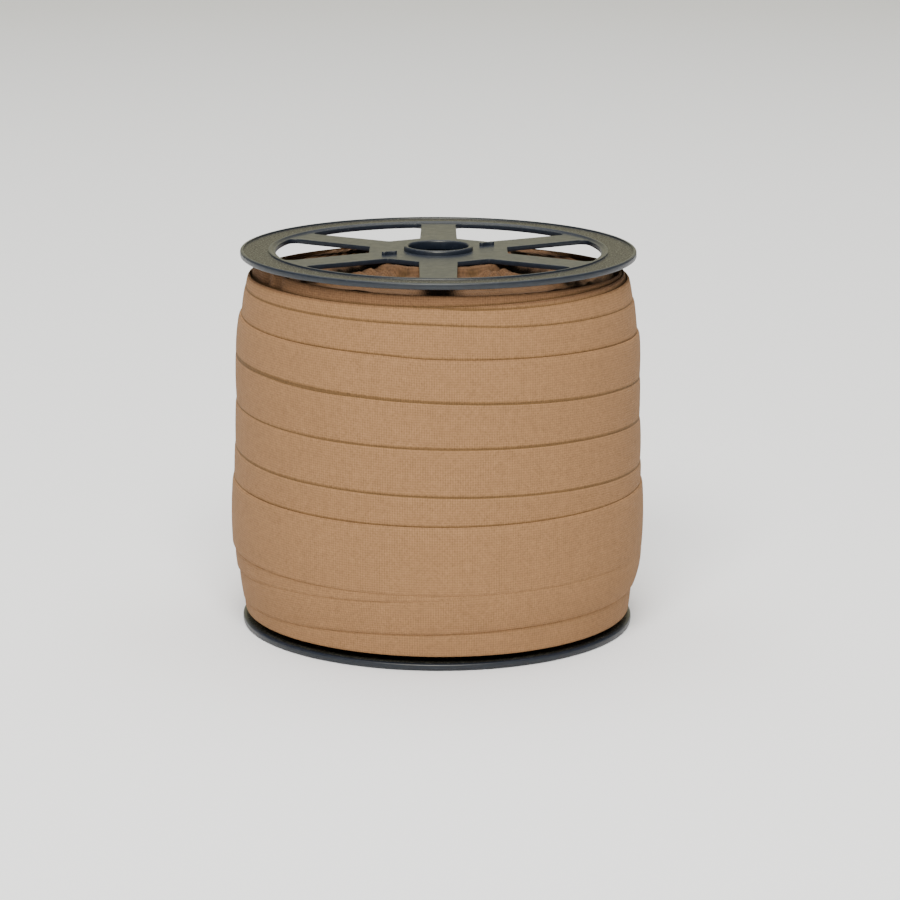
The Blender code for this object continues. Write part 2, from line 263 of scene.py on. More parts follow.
def moulded_plastic():
    """Satin black plastic with a little dust and fine scratches, textured on the ring's band."""
    material, shader, nodes, links = start_material("satin_black_plastic")
    place = nodes.new("ShaderNodeTexCoord").outputs["Object"]

    def noise(scale, detail, roughness=0.5):
        texture = nodes.new("ShaderNodeTexNoise")
        texture.inputs["Scale"].default_value = scale
        texture.inputs["Detail"].default_value = detail
        texture.inputs["Roughness"].default_value = roughness
        links.new(place, texture.inputs["Vector"])
        return texture.outputs["Fac"]

    def ramp(value, stops):
        node = nodes.new("ShaderNodeValToRGB")
        node.color_ramp.elements[0].position = stops[0][0]
        node.color_ramp.elements[0].color = (*stops[0][1], 1.0)
        node.color_ramp.elements[1].position = stops[-1][0]
        node.color_ramp.elements[1].color = (*stops[-1][1], 1.0)
        for position, colour in stops[1:-1]:
            node.color_ramp.elements.new(position).color = (*colour, 1.0)
        links.new(value, node.inputs["Fac"])
        return node.outputs["Color"]

    def mix(share, first, second):
        node = nodes.new("ShaderNodeMix")
        node.data_type = "RGBA"
        links.new(share, node.inputs["Factor"])
        links.new(first, node.inputs[6])
        links.new(second, node.inputs[7])
        return node.outputs[2]

    mottle = ramp(noise(700.0, 6.0, 0.62), [(0.30, (0.007, 0.010, 0.017)),
                                            (0.52, (0.009, 0.013, 0.022)),
                                            (0.72, (0.012, 0.017, 0.027))])
    dust_cells = nodes.new("ShaderNodeTexVoronoi")
    dust_cells.inputs["Scale"].default_value = 620.0
    links.new(place, dust_cells.inputs["Vector"])
    dust = ramp(dust_cells.outputs["Distance"], [(0.0, (1.0, 1.0, 1.0)), (0.12, (0.0, 0.0, 0.0))])
    here_and_there = ramp(noise(160.0, 3.0), [(0.55, (0.0, 0.0, 0.0)), (0.68, (0.7, 0.7, 0.7))])
    speck = nodes.new("ShaderNodeMath")
    speck.operation = "MULTIPLY"
    links.new(dust, speck.inputs[0])
    links.new(here_and_there, speck.inputs[1])
    pale = nodes.new("ShaderNodeRGB")
    pale.outputs[0].default_value = (0.17, 0.17, 0.16, 1.0)
    dusted = mix(speck.outputs[0], mottle, pale.outputs[0])

    # The ring's sunk band has a coarse speckle, found by its distance from the axis
    flat = nodes.new("ShaderNodeVectorMath")
    flat.operation = "MULTIPLY"
    flat.inputs[1].default_value = (1.0, 1.0, 0.0)
    links.new(place, flat.inputs[0])
    out = nodes.new("ShaderNodeVectorMath")
    out.operation = "LENGTH"
    links.new(flat.outputs[0], out.inputs[0])

    def edge_of_band(start, end):
        node = nodes.new("ShaderNodeMapRange")
        node.interpolation_type = "SMOOTHSTEP"
        node.inputs["From Min"].default_value = start
        node.inputs["From Max"].default_value = end
        links.new(out.outputs["Value"], node.inputs["Value"])
        return node.outputs[0]

    between = nodes.new("ShaderNodeMath")
    between.operation = "MULTIPLY"
    links.new(edge_of_band(0.0450, 0.0452), between.inputs[0])
    links.new(edge_of_band(0.0517, 0.0515), between.inputs[1])
    band = between.outputs[0]
    coarse = noise(1900.0, 3.0, 0.7)
    speckle = ramp(coarse, [(0.40, (0.004, 0.004, 0.004)), (0.55, (0.014, 0.014, 0.011)),
                            (0.68, (0.112, 0.109, 0.086))])
    links.new(mix(band, dusted, speckle), shader.inputs["Base Color"])

    satin = ramp(noise(500.0, 5.0, 0.6), [(0.3, (0.36, 0.36, 0.36)), (0.7, (0.44, 0.44, 0.44))])
    textured = ramp(coarse, [(0.40, (0.62, 0.62, 0.62)), (0.62, (0.40, 0.40, 0.40))])
    links.new(mix(band, satin, textured), shader.inputs["Roughness"])
    shader.inputs["Specular Tint"].default_value = (1.0, 0.98, 0.84, 1.0)
    shader.inputs["Specular IOR Level"].default_value = 0.44

    scratch_place = nodes.new("ShaderNodeMapping")
    scratch_place.inputs["Scale"].default_value = (60.0, 1400.0, 300.0)
    scratch_place.inputs["Rotation"].default_value = (0.0, 0.0, 0.5)
    links.new(place, scratch_place.inputs["Vector"])
    scratches = nodes.new("ShaderNodeTexNoise")
    scratches.inputs["Scale"].default_value = 1.0
    scratches.inputs["Detail"].default_value = 2.0
    links.new(scratch_place.outputs[0], scratches.inputs["Vector"])
    grain = nodes.new("ShaderNodeMath")
    grain.operation = "MULTIPLY_ADD"
    grain.inputs[1].default_value = 0.35
    links.new(scratches.outputs["Fac"], grain.inputs[0])
    links.new(noise(1500.0, 4.0, 0.6), grain.inputs[2])
    relief = nodes.new("ShaderNodeBump")
    relief.inputs["Strength"].default_value = 0.35
    relief.inputs["Distance"].default_value = 0.00006
    links.new(grain.outputs[0], relief.inputs["Height"])
    links.new(relief.outputs[0], shader.inputs["Normal"])
    return material


PLASTIC = moulded_plastic()


def web(name, hole_radius):
    """The level disc of hub and spokes, its inner face at height 0."""
    outlines = [arc((0.0, 0.0), RING_INNER_RADIUS + WEB_TUCK, 0.0, 2 * math.pi, RING_STEPS)[:-1],
                arc((0.0, 0.0), hole_radius, 0.0, 2 * math.pi, BORE_STEPS)[:-1]]
    for i in range(SPOKE_COUNT):
        outlines.append(turned_outline(window_outline(), 2 * math.pi * i / SPOKE_COUNT))
    plate = cut_plate(name, outlines, WEB_THICKNESS)
    for vertex in plate.data.vertices:
        vertex.co.z += WEB_THICKNESS / 2
    return plate


def ring(name):
    """The raised ring: a step up from the web, then a textured band sunk between two lips."""
    step = [(0.04375, 0.00110), (0.04380, 0.00127), (0.04405, 0.00133), (0.04422, 0.00148)]
    inner_lip = [(0.04435, 0.00164), (0.04455, FLANGE_THICKNESS), (0.04490, FLANGE_THICKNESS),
                 (0.04500, 0.00164), (0.04503, 0.00130)]
    band = [(0.04510, WEB_THICKNESS), (0.05156, WEB_THICKNESS)]
    outer_lip = [(0.05163, 0.00130), (0.05166, 0.00164), (0.05176, FLANGE_THICKNESS),
                 (0.05210, 0.00168), (0.05234, 0.00158), (0.05246, 0.00142)]
    rim = [(FLANGE_RADIUS, 0.00120), (FLANGE_RADIUS, 0.00040), (0.05242, 0.00016)]
    underside = [(0.0522, 0.00001), (0.0520, -UNDERCUT), (0.0439, -UNDERCUT), (0.04375, 0.00012)]
    return turned(name, step + inner_lip + band + outer_lip + rim + underside, RING_STEPS)


def collar(name):
    """The bore's wall, from the inner face up to a rounded collar."""
    top = WEB_THICKNESS + COLLAR_HEIGHT
    inside = [(BORE_RADIUS + inset, top - drop) for inset, drop in COLLAR_ROUND]
    crest = [((BORE_RADIUS + COLLAR_RADIUS) / 2, top)]
    outside = [(COLLAR_RADIUS - inset, top - drop) for inset, drop in reversed(COLLAR_ROUND)]
    underside = [(COLLAR_RADIUS, -UNDERCUT), (BORE_RADIUS + EDGE_BREAK, -UNDERCUT),
                 (BORE_RADIUS, EDGE_BREAK)]
    return turned(name, inside + crest + outside + underside, BORE_STEPS)


def lug(name, angle):
    """A keying lug, rooted a little way into the hub."""
    post = cut_plate(name, [turned_outline(lug_outline(), angle)], LUG_HEIGHT + LUG_ROOT)
    post.data.transform(Matrix.Translation((LUG_PLACE_RADIUS * math.cos(angle),
                                            LUG_PLACE_RADIUS * math.sin(angle),
                                            WEB_THICKNESS + (LUG_HEIGHT - LUG_ROOT) / 2)))
    return post


def flange(name, is_upper):
    """A flange with its flat inner face at height 0 and its outer face up."""
    plate = web(name, BORE_RADIUS + WEB_TUCK if is_upper else BORE_RADIUS)
    parts = [ring(name + "_ring")]
    if is_upper:
        parts.append(collar(name + "_collar"))
        for angle in LUG_ANGLES:
            parts.append(lug(name + "_lug", angle))
    return fuse(plate, *parts)


def put(thing, matrix):
    thing.data.transform(matrix)
    return thing


upper_flange = put(flange("upper_flange", True),
                   Matrix.Translation((0.0, 0.0, SPOOL_HEIGHT - FLANGE_THICKNESS)))
lower_flange = put(flange("lower_flange", False),
                   Matrix.Translation((0.0, 0.0, FLANGE_THICKNESS)) @ Matrix.Rotation(math.pi, 4, "X"))
for piece, node in ((upper_flange, "spool_flange_top"), (lower_flange, "spool_flange_bottom")):
    smooth_over(piece, math.radians(50))
    piece.data.materials.clear()
    piece.data.materials.append(PLASTIC)
    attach(piece, "root")
    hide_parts(node)


# Core
# A barrel that the tape is wound on, and inside it the tube for the spindle. Both are moulded
# with the flanges in the same black plastic, and only the tube's bore is seen.
CORE_GAP = 0.0003
CORE_BOTTOM = FLANGE_THICKNESS + CORE_GAP
CORE_TOP = SPOOL_HEIGHT - FLANGE_THICKNESS - CORE_GAP
CORE_EDGE = 0.0002
BARREL_INSIDE = 0.0166
BARREL_OUTSIDE = 0.0180


def core_tube(name, inside, outside):
    return turned(name, [
        (inside, CORE_TOP - CORE_EDGE), (inside + CORE_EDGE, CORE_TOP),
        (outside - CORE_EDGE, CORE_TOP), (outside, CORE_TOP - CORE_EDGE),
        (outside, CORE_BOTTOM + CORE_EDGE), (outside - CORE_EDGE, CORE_BOTTOM),
        (inside + CORE_EDGE, CORE_BOTTOM), (inside, CORE_BOTTOM + CORE_EDGE)], BORE_STEPS)


barrel = core_tube("core_barrel", BARREL_INSIDE, BARREL_OUTSIDE)
bore_tube = core_tube("bore_tube", BORE_RADIUS, COLLAR_RADIUS)
for piece, node in ((barrel, "spool_core"), (bore_tube, "spool_bore_tube")):
    smooth_over(piece, math.radians(60))
    piece.data.materials.append(PLASTIC)
    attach(piece, "root")
    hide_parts(node)


# Layers of tape under the outer turns
# The body of the winding: many layers of the same tan cotton tape laid to and fro on the
# barrel. At both ends the folded edges bunch into soft, uneven ruffles. Their cotton is painted
# darker, as shade for where they lie deep under the flanges.
TAPE_WIDTH = 0.018
TAPE_THICKNESS = 0.00062
LAP_STEP = 0.00070

# Radius of the winding's outermost cloth at each height
SWELL = [(0.0040, 0.0518), (0.0090, 0.0528), (0.0140, 0.0537), (0.0190, 0.0549),
         (0.0270, 0.0554), (0.0350, 0.0553), (0.0450, 0.0546), (0.0550, 0.0541),
         (0.0770, 0.0538), (0.0840, 0.0529), (0.0900, 0.0516), (0.0950, 0.0504),
         (0.0982, 0.0496)]


def smooth_table(value, table):
    """Read a table of (position, result) pairs with a smooth curve through its rows."""
    last = len(table) - 1
    if value <= table[0][0]:
        return table[0][1]
    if value >= table[last][0]:
        return table[last][1]
    i = next(n for n in range(last) if value <= table[n + 1][0])
    start, end = table[i], table[i + 1]
    before, after = table[max(i - 1, 0)], table[min(i + 2, last)]
    width = end[0] - start[0]
    leave = (end[1] - before[1]) / (end[0] - before[0]) * width
    arrive = (after[1] - start[1]) / (after[0] - start[0]) * width
    t = (value - start[0]) / width
    return (start[1] * (2 * t ** 3 - 3 * t ** 2 + 1) + leave * (t ** 3 - 2 * t ** 2 + t)
            + end[1] * (3 * t ** 2 - 2 * t ** 3) + arrive * (t ** 3 - t ** 2))


def cotton(name, lap_shade_share, painted_depth_shade):
    """Plain-woven cotton cut on the bias, on a UV map in metres along and across the tape."""
    material, shader, nodes, links = start_material(name)

    def math_node(operation, first, second=None, third=None):
        node = nodes.new("ShaderNodeMath")
        node.operation = operation
        for socket, value in zip(node.inputs, (first, second, third)):
            if value is None:
                continue
            if isinstance(value, (int, float)):
                socket.default_value = value
            else:
                links.new(value, socket)
        return node.outputs[0]

    uv = nodes.new("ShaderNodeUVMap")
    uv.uv_map = "UVMap"
    split = nodes.new("ShaderNodeSeparateXYZ")
    links.new(uv.outputs[0], split.inputs[0])
    along, across = split.outputs["X"], split.outputs["Y"]

    def noise(x, y, scale, detail=2.0):
        join = nodes.new("ShaderNodeCombineXYZ")
        links.new(x, join.inputs["X"])
        links.new(y, join.inputs["Y"])
        texture = nodes.new("ShaderNodeTexNoise")
        texture.noise_dimensions = "2D"
        texture.inputs["Scale"].default_value = scale
        texture.inputs["Detail"].default_value = detail
        links.new(join.outputs[0], texture.inputs["Vector"])
        return texture.outputs["Fac"]

    # Threads run at 45 degrees to the tape, 0.45 mm apart, and wander a little
    pitch = 0.00045
    diagonal = 0.7071
    wander = math_node("MULTIPLY", math_node("SUBTRACT", noise(along, across, 400.0), 0.5), 0.0002)
    warp = math_node("ADD", math_node("MULTIPLY", math_node("ADD", along, across), diagonal),
                     wander)
    weft = math_node("SUBTRACT", math_node("MULTIPLY", math_node("SUBTRACT", along, across),
                                           diagonal), wander)
    warp_wave = math_node("SINE", math_node("MULTIPLY", warp, math.pi / pitch))
    weft_wave = math_node("SINE", math_node("MULTIPLY", weft, math.pi / pitch))
    weave = math_node("MULTIPLY", warp_wave, weft_wave)

    # Each thread has its own thickness and shade, and both change slowly along it
    warp_slub = noise(warp, math_node("MULTIPLY", weft, 0.25), 1700.0)
    weft_slub = noise(weft, math_node("MULTIPLY", warp, 0.25), 1700.0)
    slub = math_node("SUBTRACT", math_node("ADD", warp_slub, weft_slub), 1.0)
    cloud = math_node("SUBTRACT", noise(along, across, 90.0, 3.0), 0.5)

    # Folding stretches the cloth, so in places its threads line up as ribs across the tape
    rib_pitch = 0.00042
    rib = math_node("SINE", math_node("ADD", math_node("MULTIPLY", along, math.pi * 2 / rib_pitch),
                                      math_node("MULTIPLY", wander, 9000.0)))
    ribbed = math_node("MULTIPLY", rib, noise(along, across, 110.0))
    # The tone starts from the painted depth shade, which is 1 where no shade is painted
    shade = math_node("MULTIPLY_ADD", weave, 0.16, painted_depth_shade)
    shade = math_node("MULTIPLY_ADD", ribbed, 0.20, shade)
    shade = math_node("MULTIPLY_ADD", slub, 0.34, shade)
    shade = math_node("MULTIPLY_ADD", cloud, 0.10, shade)

    # A painted shade line where the next turn laps over, standing in for the shade in the crease, at
    # the distance across the tape that "lap" gives, its edge a little fuzzy with loose fibres
    lap = nodes.new("ShaderNodeAttribute")
    lap.attribute_name = "lap"
    fuzz = math_node("MULTIPLY", math_node("SUBTRACT", noise(along, across, 1500.0), 0.5), 0.0004)
    to_lap = math_node("ADD", math_node("SUBTRACT", lap.outputs["Fac"], across), fuzz)
    band = nodes.new("ShaderNodeMapRange")
    band.interpolation_type = "SMOOTHSTEP"
    band.inputs["From Min"].default_value = 0.0007
    band.inputs["From Max"].default_value = 0.0
    links.new(to_lap, band.inputs["Value"])
    lap_shade = math_node("MULTIPLY", band.outputs[0], lap_shade_share)

    def colour_between(share, first, second):
        node = nodes.new("ShaderNodeMix")
        node.data_type = "RGBA"
        links.new(share, node.inputs["Factor"])
        for socket, colour in ((node.inputs[6], first), (node.inputs[7], second)):
            if isinstance(colour, tuple):
                socket.default_value = (*colour, 1.0)
            else:
                links.new(colour, socket)
        return node.outputs[2]

    # Close under the rim the cloth is painted a deeper, redder shade, standing in for the shadow the
    # rim casts on it
    place = nodes.new("ShaderNodeSeparateXYZ")
    links.new(nodes.new("ShaderNodeTexCoord").outputs["Object"], place.inputs[0])
    rim_shade = nodes.new("ShaderNodeMapRange")
    rim_shade.interpolation_type = "SMOOTHSTEP"
    rim_shade.inputs["From Min"].default_value = 0.0936
    rim_shade.inputs["From Max"].default_value = 0.0948
    links.new(place.outputs["Z"], rim_shade.inputs["Value"])
    cloth = colour_between(rim_shade.outputs[0], (0.250, 0.134, 0.060), (0.158, 0.081, 0.038))
    # The lap lines take a dark brown here as painted shade
    tan = colour_between(lap_shade, cloth, (0.105, 0.056, 0.020))
    toned = nodes.new("ShaderNodeVectorMath")
    toned.operation = "SCALE"
    links.new(tan, toned.inputs[0])
    links.new(shade, toned.inputs["Scale"])
    links.new(toned.outputs[0], shader.inputs["Base Color"])
    shader.inputs["Roughness"].default_value = 0.92
    shader.inputs["Specular IOR Level"].default_value = 0.18
    shader.inputs["Sheen Weight"].default_value = 0.03
    shader.inputs["Sheen Roughness"].default_value = 0.5
    shader.inputs["Sheen Tint"].default_value = (1.0, 0.86, 0.70, 1.0)

    height = math_node("MULTIPLY_ADD", slub, 0.8, math_node("MULTIPLY", weave, 0.5))
    relief = nodes.new("ShaderNodeBump")
    relief.inputs["Strength"].default_value = 0.7
    relief.inputs["Distance"].default_value = 0.00008
    links.new(height, relief.inputs["Height"])
    links.new(relief.outputs[0], shader.inputs["Normal"])
    return material


# Height of each end's cloth by radius, at the barrel first
UPPER_END = [(0.0183, 0.0991), (0.0196, 0.0990), (0.0204, 0.0984), (0.0211, 0.0972),
             (0.0230, 0.0969), (0.0300, 0.0963), (0.0380, 0.0952), (0.0440, 0.0940),
             (0.0475, 0.0925)]
LOWER_END = [(0.0183, 0.0025), (0.0240, 0.0030), (0.0440, 0.0034), (0.0500, 0.0042)]
LAYER_INSET = 0.0040
INNER_RADIUS = 0.0183
LOWER_RADIUS = 0.0498
EVEN_RADIUS = 0.0500
SIDE_TOP = 0.0900
SIDE_BOTTOM = 0.0042
HIGHEST_CLOTH = 0.09915
RAMP = 0.002

# The first turns stand smooth against the barrel in front, and beyond them the cloth bunches
# into lumps, as (degrees either way from the front, height)
LUMPS = [(0, 0.0), (20, 0.0), (27, -0.0009), (34, 0.0013), (40, -0.0002), (46, 0.0011),
         (60, -0.0007), (75, 0.0007), (100, 0.0), (125, 0.0008), (150, -0.0004), (180, 0.0004)]
LUMP_RADIUS = 0.0250
LUMP_WIDTH = 0.0045

# The tape's two ends lie at the back, and angles are counted from there
SEAM_DEGREES = 90

# Just inside the outermost turn the cloth follows its edge, as (degrees from +X, height)
SHOULDER = [(90, 0.0918), (150, 0.0922), (172, 0.0930), (184, 0.0944), (195, 0.0962),
            (215, 0.0966), (240, 0.0963), (270, 0.0962), (300, 0.0958), (325, 0.0953),
            (360, 0.0941), (400, 0.0926), (450, 0.0918)]
SHOULDER_RADIUS = 0.0464
SHOULDER_START = 0.0405
SHOULDER_BLEND = 0.0045

# The edges of the turns bunch into ruffles that spiral round the barrel
RUFFLE_PITCH = 0.0036
RUFFLE_HEIGHT = 0.00042
GATHER_HEIGHT = 0.00016
UPPER_RUFFLES = 1.4
LOWER_RUFFLES = 0.6
HOLLOW_DEPTH = 0.0006
HOLLOW_SHADE_REACH = 0.0006


def step_up(value):
    """A smooth rise from 0 to 1."""
    value = min(1.0, max(0.0, value))
    return value * value * (3 - 2 * value)


def ruffles(angle, radius, seed):
    """Height of the bunched edges above or below the even end, in metres."""
    wander = (0.0011 * math.sin(3 * angle + seed) + 0.0007 * math.sin(7 * angle + 2.1 * seed)
              + 0.0004 * math.sin(13 * angle + 0.7 * seed))
    turn = (radius + wander) / RUFFLE_PITCH - angle / (2 * math.pi)
    fold = turn - math.floor(turn)
    lip = math.exp(-((fold - 0.25) / 0.17) ** 2) - 0.55 * math.exp(-((fold - 0.72) / 0.2) ** 2)
    strength = 0.5 + 0.5 * math.sin(5 * angle + 1.7 * seed + radius * 190.0)
    gather = math.sin(26 * angle + 5.0 * math.sin(2 * angle + seed) + radius * 420.0)
    return RUFFLE_HEIGHT * lip * (0.45 + 0.8 * strength) + GATHER_HEIGHT * gather * strength


def upper_cloth(angle, radius, height):
    """The upper end's height at a place, and how deep it lies between ruffles, from 0 to 1."""
    degrees = (math.degrees(angle) - SEAM_DEGREES) % 360.0 + SEAM_DEGREES
    shoulder = step_up((radius - SHOULDER_START) / SHOULDER_BLEND)
    height += shoulder * (smooth_table(degrees, SHOULDER) - height)
    aside = abs(degrees - 270.0)
    fade = min(1.0, (radius - INNER_RADIUS) / RAMP) * min(1.0, 0.15 + (aside / 26.0) ** 4)
    lump = smooth_table(aside, LUMPS) * math.exp(-((radius - LUMP_RADIUS) / LUMP_WIDTH) ** 2)
    rise = UPPER_RUFFLES * fade * ruffles(angle, radius, 1.3) + lump
    return min(height + rise, HIGHEST_CLOTH), min(1.0, max(0.0, -rise / HOLLOW_DEPTH))


def lower_cloth(angle, radius, height):
    fade = min(1.0, (radius - INNER_RADIUS) / RAMP, (EVEN_RADIUS - radius) / RAMP)
    return height - LOWER_RUFFLES * fade * ruffles(angle, radius, 4.2)


def wound_layers():
    steps, upper_rows, side_rows, lower_rows = 288, 63, 30, 47
    rows = []
    for i in range(upper_rows + 1):
        radius = INNER_RADIUS + (SHOULDER_RADIUS - INNER_RADIUS) * i / upper_rows
        rows.append(("upper", radius, smooth_table(radius, UPPER_END)))
    for i in range(1, side_rows):
        height = SIDE_TOP + (SIDE_BOTTOM - SIDE_TOP) * i / side_rows
        rows.append(("side", smooth_table(height, SWELL) - LAYER_INSET, height))
    for i in range(lower_rows + 1):
        radius = LOWER_RADIUS + (INNER_RADIUS - LOWER_RADIUS) * i / lower_rows
        rows.append(("lower", radius, smooth_table(radius, LOWER_END)))
    bm = bmesh.new()
    grid = []
    shades = []
    for i in range(steps):
        angle = 2 * math.pi * i / steps
        column = []
        for kind, radius, height in rows:
            shade = 1.0
            if kind == "upper":
                height, hollow = upper_cloth(angle, radius, height)
                # Hollows between the upper ruffles are painted with shade through the "lap" attribute
                shade = radius + HOLLOW_SHADE_REACH * (1.0 - hollow)
            elif kind == "lower":
                height = lower_cloth(angle, radius, height)
            column.append(bm.verts.new((radius * math.cos(angle), radius * math.sin(angle), height)))
            shades.append(shade)
        grid.append(column)
    uv = bm.loops.layers.uv.new("UVMap")
    around = 0.22
    for i in range(steps):
        left, right = grid[i], grid[(i + 1) % steps]
        for j in range(len(rows)):
            k = (j + 1) % len(rows)
            face = bm.faces.new((left[j], left[k], right[k], right[j]))
            for loop in face.loops:
                x, y, z = loop.vert.co
                turn = i / steps if loop.vert in (left[j], left[k]) else (i + 1) / steps
                down = z if rows[j][0] == "side" else math.hypot(x, y)
                loop[uv].uv = (turn * around, down)
    mesh = bpy.data.meshes.new("tape_layers")
    bm.to_mesh(mesh)
    bm.free()
    lap = mesh.attributes.new("lap", "FLOAT", "POINT")
    for point, shade in zip(lap.data, shades):
        point.value = shade
    mesh.shade_smooth()
    return add_to_scene("tape_layers", mesh)


COTTON = cotton("tan_cotton", 0.9, 1.0)
tape_layers = wound_layers()
# The inner layers get a darker copy of the cotton: its colour is scaled down as painted shade
tape_layers.data.materials.append(cotton("inner_cotton_painted_shade", 0.8, 0.62))
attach(tape_layers, "root")
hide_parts("tape_winding")


# Outer turns
# One length of bias tape 18 mm wide, its raw edges folded in, wound downward from the top.
# Each turn laps over the one above it, and the tape's end lies flat at the back.
TURN_STEPS = 200
OUTER_TURNS = 9
END_RISE_TURNS = 0.06
LAP_RAMP = 0.0012
CURL_REACH = 0.0016

# Height of the tape's upper edge as (turn, degrees from +X, height)
UPPER_EDGE = [
    (0, 90, 0.0926), (0, 150, 0.0932), (0, 172, 0.0940), (0, 184, 0.0962), (0, 195, 0.0981),
    (0, 210, 0.0982), (0, 225, 0.0979), (0, 240, 0.0977), (0, 270, 0.0973), (0, 300, 0.0970),
    (0, 325, 0.0966), (0, 360, 0.0953), (0, 400, 0.0938),
    (1, 90, 0.0932), (1, 150, 0.0936), (1, 205, 0.0943), (1, 268, 0.0945), (1, 325, 0.0953),
    (1, 360, 0.0950), (1, 400, 0.0940),
    (2, 90, 0.0935), (2, 150, 0.0940), (2, 205, 0.0947), (2, 240, 0.0945), (2, 268, 0.0943),
    (2, 294, 0.0936), (2, 325, 0.0938), (2, 370, 0.0938),
    (3, 90, 0.0930), (3, 150, 0.0922), (3, 205, 0.0911), (3, 230, 0.0908), (3, 268, 0.0902),
    (3, 294, 0.0890), (3, 329, 0.0884),
    (4, 90, 0.0868), (4, 201, 0.0835), (4, 251, 0.0824), (4, 268, 0.0816), (4, 327, 0.0803),
    (5, 204, 0.0734), (5, 268, 0.0709), (5, 326, 0.0686),
    (6, 204, 0.0602), (6, 268, 0.0588), (6, 326, 0.0577),
    (7, 205, 0.0481), (7, 268, 0.0464), (7, 326, 0.0451),
    (8, 206, 0.0394), (8, 268, 0.0385), (8, 325, 0.0388), (8, 450, 0.0396)]
UPPER_EDGE = [(turn + (degrees - SEAM_DEGREES) / 360, height) for turn, degrees, height in UPPER_EDGE]

# How far the upper edge stands in from the turn over it, where the shoulder's turns are slack
STAND_OFF = [
    (0, 90, 0.0), (0, 165, 0.0002), (0, 192, 0.0014), (0, 208, 0.0010), (0, 232, 0.0002),
    (0, 300, 0.0002), (0, 322, 0.0009), (0, 345, 0.0016), (0, 370, 0.0012), (0, 400, 0.0002),
    (1, 150, 0.0), (1, 188, 0.0008), (1, 215, 0.0001), (1, 310, 0.0001), (1, 348, 0.0010),
    (1, 380, 0.0004), (2, 90, 0.0)]
STAND_OFF = [(turn + (degrees - SEAM_DEGREES) / 360, inward) for turn, degrees, inward in STAND_OFF]

# Two small pleats in the first turn, at the left
PLEATS = [(degrees - SEAM_DEGREES) / 360 for degrees in (204.5, 212.5)]
PLEAT_DEPTH = 0.0011
PLEAT_DEGREES = 1.7


def outer_cover(turns, height):
    """How many later turns lie over this one at a height."""
    covered = 0.0
    later = turns + 1
    while later <= OUTER_TURNS:
        ends = step_up((OUTER_TURNS - later) / END_RISE_TURNS)
        covered += ends * step_up((smooth_table(later, UPPER_EDGE) - height) / LAP_RAMP + 0.5)
        later += 1
    return covered


def cloth_radius(height, covered):
    return smooth_table(height, SWELL) - LAP_STEP * covered


def guide(name, stations):
    """The tape's middle line, and at each point its lean, the distance to the next lap and how
    far its middle swells out."""
    mesh = bpy.data.meshes.new(name)
    mesh.from_pydata([row[0] for row in stations],
                     [(i, i + 1) for i in range(len(stations) - 1)], [])
    for column, label in ((1, "lean"), (2, "lap"), (3, "bow")):
        layer = mesh.attributes.new(label, "FLOAT", "POINT")
        for i, row in enumerate(stations):
            layer.data[i].value = row[column]
    return add_to_scene(name, mesh)


def station(angle, upper, middle, lower, lap):
    """One point of the guide, between the tape's upper and lower edges as (radius, height)."""
    radius = (upper[0] + lower[0]) / 2 - TAPE_THICKNESS / 2
    height = (upper[1] + lower[1]) / 2
    lean = math.asin((upper[0] - lower[0]) / TAPE_WIDTH)
    bow = middle - (upper[0] + lower[0]) / 2
    return ((radius * math.cos(angle), radius * math.sin(angle), height), lean, lap, bow)


def outer_guide():
    """Nine turns downward, whose end rises at the back to lie on the turn below it."""
    stations = []
    for i in range(OUTER_TURNS * TURN_STEPS + 1):
        turns = i / TURN_STEPS
        angle = math.radians(SEAM_DEGREES) + 2 * math.pi * turns
        top = smooth_table(turns, UPPER_EDGE)
        bottom = top - TAPE_WIDTH
        centre = (top + bottom) / 2
        inward = smooth_table(turns, STAND_OFF)
        for pleat in PLEATS:
            inward += PLEAT_DEPTH * math.exp(-((turns - pleat) * 360 / PLEAT_DEGREES) ** 2)
        rise = LAP_STEP * step_up((turns - OUTER_TURNS) / END_RISE_TURNS + 1)
        upper = (cloth_radius(top, outer_cover(turns, top)) + rise - inward, top)
        middle = cloth_radius(centre, outer_cover(turns, centre)) + rise
        lower = (cloth_radius(bottom, outer_cover(turns, bottom)) + rise, bottom)
        lap = top - smooth_table(turns + 1, UPPER_EDGE) if turns + 1 <= OUTER_TURNS else 1.0
        stations.append(station(angle, upper, middle, lower, lap))
    return guide("outer_turns", stations)


